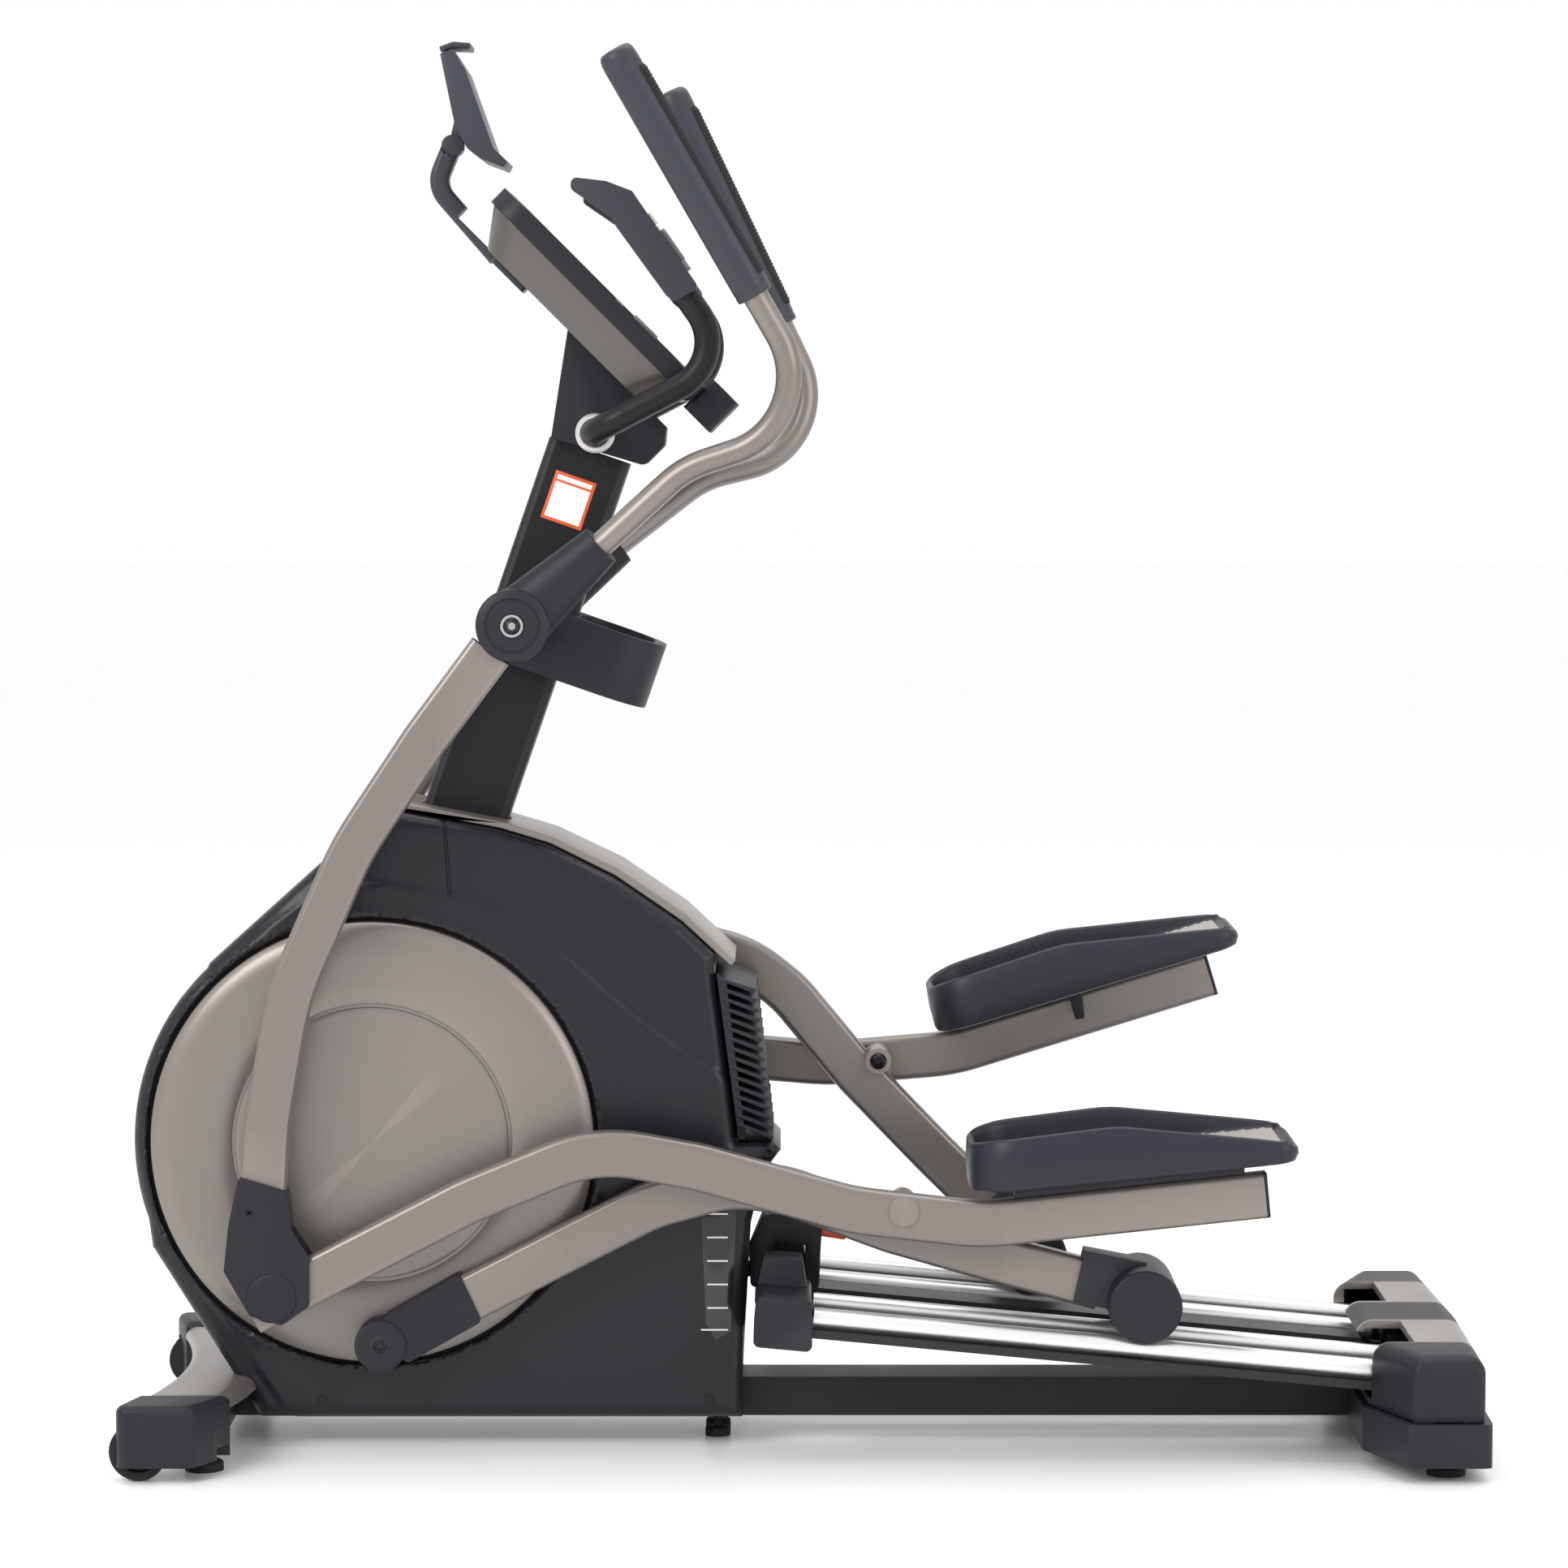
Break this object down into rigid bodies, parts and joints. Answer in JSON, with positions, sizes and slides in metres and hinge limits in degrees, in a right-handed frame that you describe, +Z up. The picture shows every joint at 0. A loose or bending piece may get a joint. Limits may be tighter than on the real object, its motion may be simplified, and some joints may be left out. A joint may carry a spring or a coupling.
{
  "type": "elliptical trainer",
  "caption": "Front-drive elliptical trainer: crank discs in a casing, swinging handlebars, pedals on roller links over inclined rails, and a mast with console, tray and tablet holder.",
  "frame": {"origin": "on the floor, under the middle of the machine", "axes": "+X towards the rear where the user steps on, +Y to the user's right, +Z up"},
  "size_m": [1.705, 0.65, 1.7746],
  "materials": {
    "frame_black": "satin black powder coat",
    "arm_bronze": "fine metallic warm grey paint",
    "mast_grey": "satin dark grey paint",
    "cover_dark": "fine grained dark blue-grey",
    "shell_dark": "semi-gloss dark blue-grey",
    "silver_plastic": "metallic warm grey",
    "rail_bright": "bright drawn tube",
    "axle_steel": "turned",
    "roller_grey": "hard urethane",
    "rubber_black": "moulded",
    "belt_black": "ribbed",
    "iron_dark": "turned and oiled",
    "screen_black": "glossy panel",
    "grip_grey": "satin moulded",
    "trigger_orange": "bright orange",
    "key_grey": "silicone"
  },
  "bodies": {
    "frame": {"main_frame": "frame_black", "mast_post": "mast_grey", "front_foot_cover": "silver_plastic", "front_end_caps": "cover_dark", "rear_foot": "cover_dark", "levelling_feet": "rubber_black", "left_housing": "shell_dark", "right_housing": "shell_dark", "rear_grille": "cover_dark", "top_trim": "silver_plastic", "console_back": "silver_plastic", "console_bezel": "cover_dark", "console_face": "screen_black", "console_neck": "cover_dark", "pulse_handlebar": "mast_grey", "pulse_grips": "grip_grey", "accessory_tray": "cover_dark", "swing_axle": "axle_steel", "tablet_arm": "grip_grey", "drive_belt": "belt_black"},
    "crank": {"crankset": "axle_steel", "left_disc": "silver_plastic", "right_disc": "silver_plastic", "drive_pulley": "roller_grey"},
    "flywheel": {"flywheel": "iron_dark"},
    "ramp": {"ramp_frame": "frame_black", "ramp_rails": "rail_bright", "ramp_head": "cover_dark", "ramp_handle": "cover_dark"},
    "ramp_trigger": {"release_trigger": "trigger_orange"},
    "tablet_holder": {"tablet_cradle": "grip_grey"},
    "tablet_spring_jaw": {"tablet_jaw": "grip_grey"},
    "left_key": {"left_grip_key": "key_grey"},
    "right_key": {"right_grip_key": "key_grey"},
    "left_wheel": {"left_transport_wheel": "rubber_black"},
    "right_wheel": {"right_transport_wheel": "rubber_black"},
    "left_swing": {"left_swing_tube": "arm_bronze", "left_fork_cover": "cover_dark", "left_swing_hub": "cover_dark", "left_handlebar": "arm_bronze", "left_grip": "grip_grey"},
    "left_pedal_arm_body": {"left_pedal_arm": "arm_bronze", "left_pedal": "grip_grey"},
    "left_carriage": {"left_roller_axle": "axle_steel"},
    "left_roller_pair": {"left_rollers": "roller_grey"},
    "left_link_body": {"left_link": "arm_bronze", "left_link_collar": "cover_dark", "left_roller_cover": "cover_dark"},
    "right_swing": {"right_swing_tube": "arm_bronze", "right_fork_cover": "cover_dark", "right_swing_hub": "cover_dark", "right_handlebar": "arm_bronze", "right_grip": "grip_grey"},
    "right_pedal_arm_body": {"right_pedal_arm": "arm_bronze", "right_pedal": "grip_grey"},
    "right_carriage": {"right_roller_axle": "axle_steel"},
    "right_roller_pair": {"right_rollers": "roller_grey"},
    "right_link_body": {"right_link": "arm_bronze", "right_link_collar": "cover_dark", "right_roller_cover": "cover_dark"}
  },
  "joints": [
    {"name": "left_stride", "type": "hinge", "parent": "frame", "child": "left_swing", "pos_m": [-0.3598, 0, 1.0474], "axis": [0, 1, 0], "range_deg": [-17, 17]},
    {"name": "right_stride", "type": "hinge", "parent": "frame", "child": "right_swing", "pos_m": [-0.3598, 0, 1.0474], "axis": [0, 1, 0], "range_deg": [-17, 17]},
    {"name": "left_pedal_pivot", "type": "hinge", "parent": "left_swing", "child": "left_pedal_arm_body", "pos_m": [-0.6626, -0.191, 0.2106], "axis": [0, 1, 0], "range_deg": [-12, 12]},
    {"name": "right_pedal_pivot", "type": "hinge", "parent": "right_swing", "child": "right_pedal_arm_body", "pos_m": [-0.65304, 0.191, 0.2072], "axis": [0, 1, 0], "range_deg": [-12, 12]},
    {"name": "crank_spin", "type": "hinge", "parent": "frame", "child": "crank", "pos_m": [-0.545, 0, 0.391], "axis": [0, 1, 0], "continuous": true},
    {"name": "flywheel_spin", "type": "hinge", "parent": "frame", "child": "flywheel", "pos_m": [-0.3, 0, 0.3], "axis": [0, 1, 0], "continuous": true},
    {"name": "incline", "type": "hinge", "parent": "frame", "child": "ramp", "pos_m": [0.77, 0, 0.1124], "axis": [0, 1, 0], "range_deg": [-3.5, 4]},
    {"name": "trigger_pull", "type": "hinge", "parent": "ramp", "child": "ramp_trigger", "pos_m": [0.014, 0, 0.2625], "axis": [0, 1, 0], "range_deg": [-10, 0], "stiffness_Nm_per_rad": 0.5},
    {"name": "left_roller_travel", "type": "slide", "parent": "ramp", "child": "left_carriage", "axis": [0.9956, 0, -0.0934], "range_m": [-0.2, 0.2]},
    {"name": "right_roller_travel", "type": "slide", "parent": "ramp", "child": "right_carriage", "axis": [0.9956, 0, -0.0934], "range_m": [-0.2, 0.2]},
    {"name": "left_roller_spin", "type": "hinge", "parent": "left_carriage", "child": "left_roller_pair", "pos_m": [0.4254, -0.145, 0.1983], "axis": [0, 1, 0], "range_deg": [-300, 300]},
    {"name": "right_roller_spin", "type": "hinge", "parent": "right_carriage", "child": "right_roller_pair", "pos_m": [0.29887, 0.145, 0.21017], "axis": [0, 1, 0], "range_deg": [-300, 300]},
    {"name": "left_link_tilt", "type": "hinge", "parent": "left_carriage", "child": "left_link_body", "pos_m": [0.4254, -0.145, 0.1983], "axis": [0, 1, 0], "range_deg": [-6, 5.2]},
    {"name": "right_link_tilt", "type": "hinge", "parent": "right_carriage", "child": "right_link_body", "pos_m": [0.29887, 0.145, 0.21017], "axis": [0, 1, 0], "range_deg": [-6.6, 5.9]},
    {"name": "tablet_tilt", "type": "hinge", "parent": "frame", "child": "tablet_holder", "pos_m": [-0.444, 0, 1.646], "axis": [0, 1, 0], "range_deg": [-12, 15]},
    {"name": "tablet_jaw_lift", "type": "slide", "parent": "tablet_holder", "child": "tablet_spring_jaw", "axis": [-0.333, 0, 0.9429], "range_m": [0, 0.03], "stiffness_N_per_m": 60},
    {"name": "left_key_press", "type": "slide", "parent": "frame", "child": "left_key", "axis": [-0.8202, 0, -0.5721], "range_m": [0, 0.002], "stiffness_N_per_m": 600},
    {"name": "right_key_press", "type": "slide", "parent": "frame", "child": "right_key", "axis": [-0.8202, 0, -0.5721], "range_m": [0, 0.002], "stiffness_N_per_m": 600},
    {"name": "left_wheel_spin", "type": "hinge", "parent": "frame", "child": "left_wheel", "pos_m": [-0.818, -0.295, 0.037], "axis": [0, 1, 0], "continuous": true},
    {"name": "right_wheel_spin", "type": "hinge", "parent": "frame", "child": "right_wheel", "pos_m": [-0.818, 0.295, 0.037], "axis": [0, 1, 0], "continuous": true}
  ],
  "couplings": [
    {"joint": "right_stride", "follows": "left_stride", "ratio": -1},
    {"joint": "left_pedal_pivot", "follows": "left_stride", "ratio": -0.67},
    {"joint": "right_pedal_pivot", "follows": "left_stride", "ratio": 0.67},
    {"joint": "flywheel_spin", "follows": "crank_spin", "ratio": 5},
    {"joint": "left_roller_travel", "follows": "left_stride", "m_per_rad": -0.66},
    {"joint": "right_roller_travel", "follows": "left_stride", "m_per_rad": 0.66},
    {"joint": "left_roller_spin", "follows": "left_stride", "ratio": -16.2},
    {"joint": "right_roller_spin", "follows": "left_stride", "ratio": 16.2},
    {"joint": "left_link_tilt", "follows": "incline", "ratio": -1.36},
    {"joint": "right_link_tilt", "follows": "incline", "ratio": -1.55}
  ]
}
